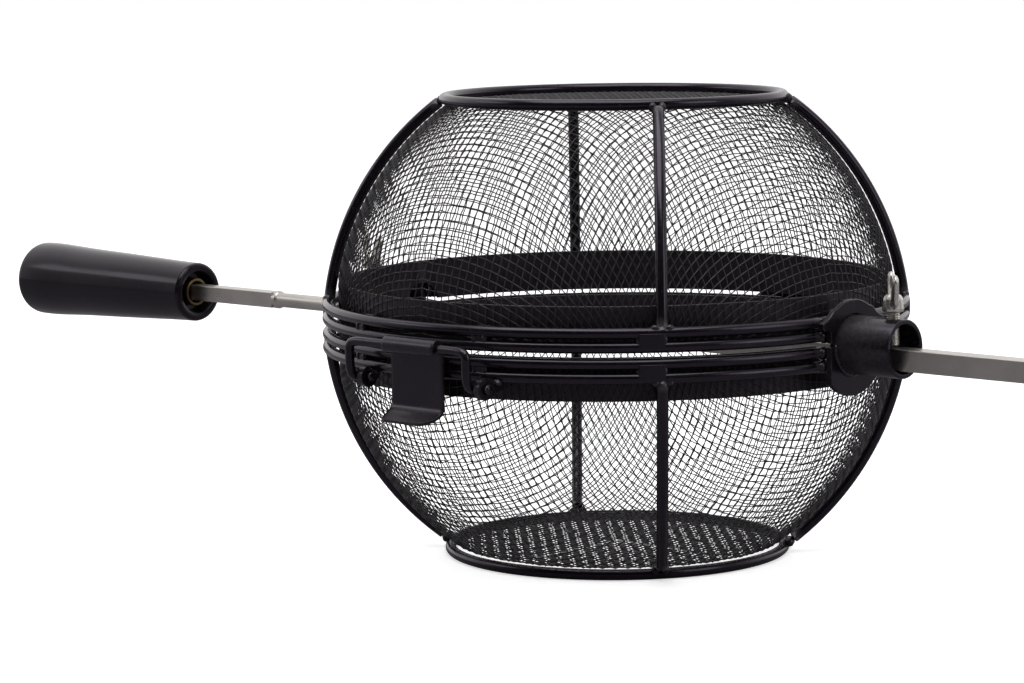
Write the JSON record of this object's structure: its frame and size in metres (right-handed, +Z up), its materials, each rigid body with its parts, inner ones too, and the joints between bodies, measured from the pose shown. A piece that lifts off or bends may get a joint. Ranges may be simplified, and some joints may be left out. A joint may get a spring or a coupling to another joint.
{
  "type": "grill basket",
  "caption": "Round rotisserie basket: hinged wire lid and base lined with woven mesh, latched at the front and clamped by wing screws to a square spit with a handle.",
  "frame": {"origin": "centre of the basket at the level of the base's standing ring; the bounding box's bottom centre", "axes": "+Z up, +X along the spit away from its handle, latch at -Y and hinge at +Y"},
  "size_m": [0.833, 0.2936, 0.2142],
  "materials": {
    "black_enamel": "gloss black baked coating",
    "coated_weave": "black coated wire weave",
    "nickel_steel": "nickel plated steel",
    "black_grip": "gloss black",
    "brass": "brass coloured plating"
  },
  "bodies": {
    "base": {"base_end_ring": "black_enamel", "base_rim_inner_front": "black_enamel", "base_rim_outer_front": "black_enamel", "base_rim_inner_back": "black_enamel", "base_rim_outer_back": "black_enamel", "base_rib_right_front": "black_enamel", "base_rib_right_back": "black_enamel", "base_rib_left_front": "black_enamel", "base_rib_left_back": "black_enamel", "base_band": "black_enamel", "base_mesh": "coated_weave", "base_strap_1": "black_enamel", "base_strap_2": "black_enamel", "base_strap_3": "black_enamel", "base_strap_4": "black_enamel", "base_plate_right": "black_enamel", "base_plate_left": "black_enamel", "collar_tube_right": "black_enamel", "collar_tube_left": "black_enamel", "latch_eye_right": "black_enamel", "latch_eye_left": "black_enamel", "hinge_barrel_base_right": "black_enamel", "hinge_barrel_base_left": "black_enamel", "hinge_pin": "nickel_steel"},
    "lid": {"lid_end_ring": "black_enamel", "lid_rim_inner_front": "black_enamel", "lid_rim_outer_front": "black_enamel", "lid_rim_inner_back": "black_enamel", "lid_rim_outer_back": "black_enamel", "lid_rib_right_front": "black_enamel", "lid_rib_right_back": "black_enamel", "lid_rib_left_front": "black_enamel", "lid_rib_left_back": "black_enamel", "lid_band": "black_enamel", "lid_mesh": "coated_weave", "lid_strap_1": "black_enamel", "lid_strap_2": "black_enamel", "lid_strap_3": "black_enamel", "lid_strap_4": "black_enamel", "lid_plate_right": "black_enamel", "lid_plate_left": "black_enamel", "hinge_barrel_lid": "black_enamel"},
    "latch_bail": {"latch_bail": "black_enamel"},
    "latch_tab": {"latch_tab": "black_enamel"},
    "screw_right_shank": {"wing_screw_right_shank": "nickel_steel"},
    "screw_right_wing": {"wing_screw_right_wing": "nickel_steel"},
    "screw_left_shank": {"wing_screw_left_shank": "nickel_steel"},
    "screw_left_wing": {"wing_screw_left_wing": "nickel_steel"},
    "spit": {"spit_rod": "nickel_steel", "spit_journal": "nickel_steel", "handle": "black_grip", "handle_ferrule": "brass"}
  },
  "joints": [
    {"name": "lid_hinge", "type": "hinge", "parent": "base", "child": "lid", "pos_m": [0, 0.1424, 0.1077], "axis": [-1, 0, 0], "range_deg": [0, 150]},
    {"name": "latch_bail_hinge", "type": "hinge", "parent": "base", "child": "latch_bail", "pos_m": [0.0028, -0.1344, 0.0934], "axis": [1, 0, 0], "range_deg": [0, 45]},
    {"name": "latch_tab_hinge", "type": "hinge", "parent": "latch_bail", "child": "latch_tab", "pos_m": [0.0062, -0.1402, 0.1096], "axis": [-1, 0, 0], "range_deg": [0, 120]},
    {"name": "spit_slide", "type": "slide", "parent": "base", "child": "spit", "axis": [1, 0, 0], "range_m": [-0.245, 0.12]},
    {"name": "screw_right_travel", "type": "slide", "parent": "base", "child": "screw_right_shank", "axis": [0, 0, 1], "range_m": [0, 0.003]},
    {"name": "screw_right_turn", "type": "hinge", "parent": "screw_right_shank", "child": "screw_right_wing", "pos_m": [0.1603, 0, 0.1317], "axis": [0, 0, 1], "range_deg": [0, 1080]},
    {"name": "screw_left_travel", "type": "slide", "parent": "base", "child": "screw_left_shank", "axis": [0, 0, 1], "range_m": [0, 0.003]},
    {"name": "screw_left_turn", "type": "hinge", "parent": "screw_left_shank", "child": "screw_left_wing", "pos_m": [-0.1603, 0, 0.1317], "axis": [0, 0, 1], "range_deg": [0, 1080]}
  ],
  "couplings": [
    {"joint": "screw_right_travel", "follows": "screw_right_turn", "m_per_rad": 0.00015915},
    {"joint": "screw_left_travel", "follows": "screw_left_turn", "m_per_rad": 0.00015915}
  ]
}
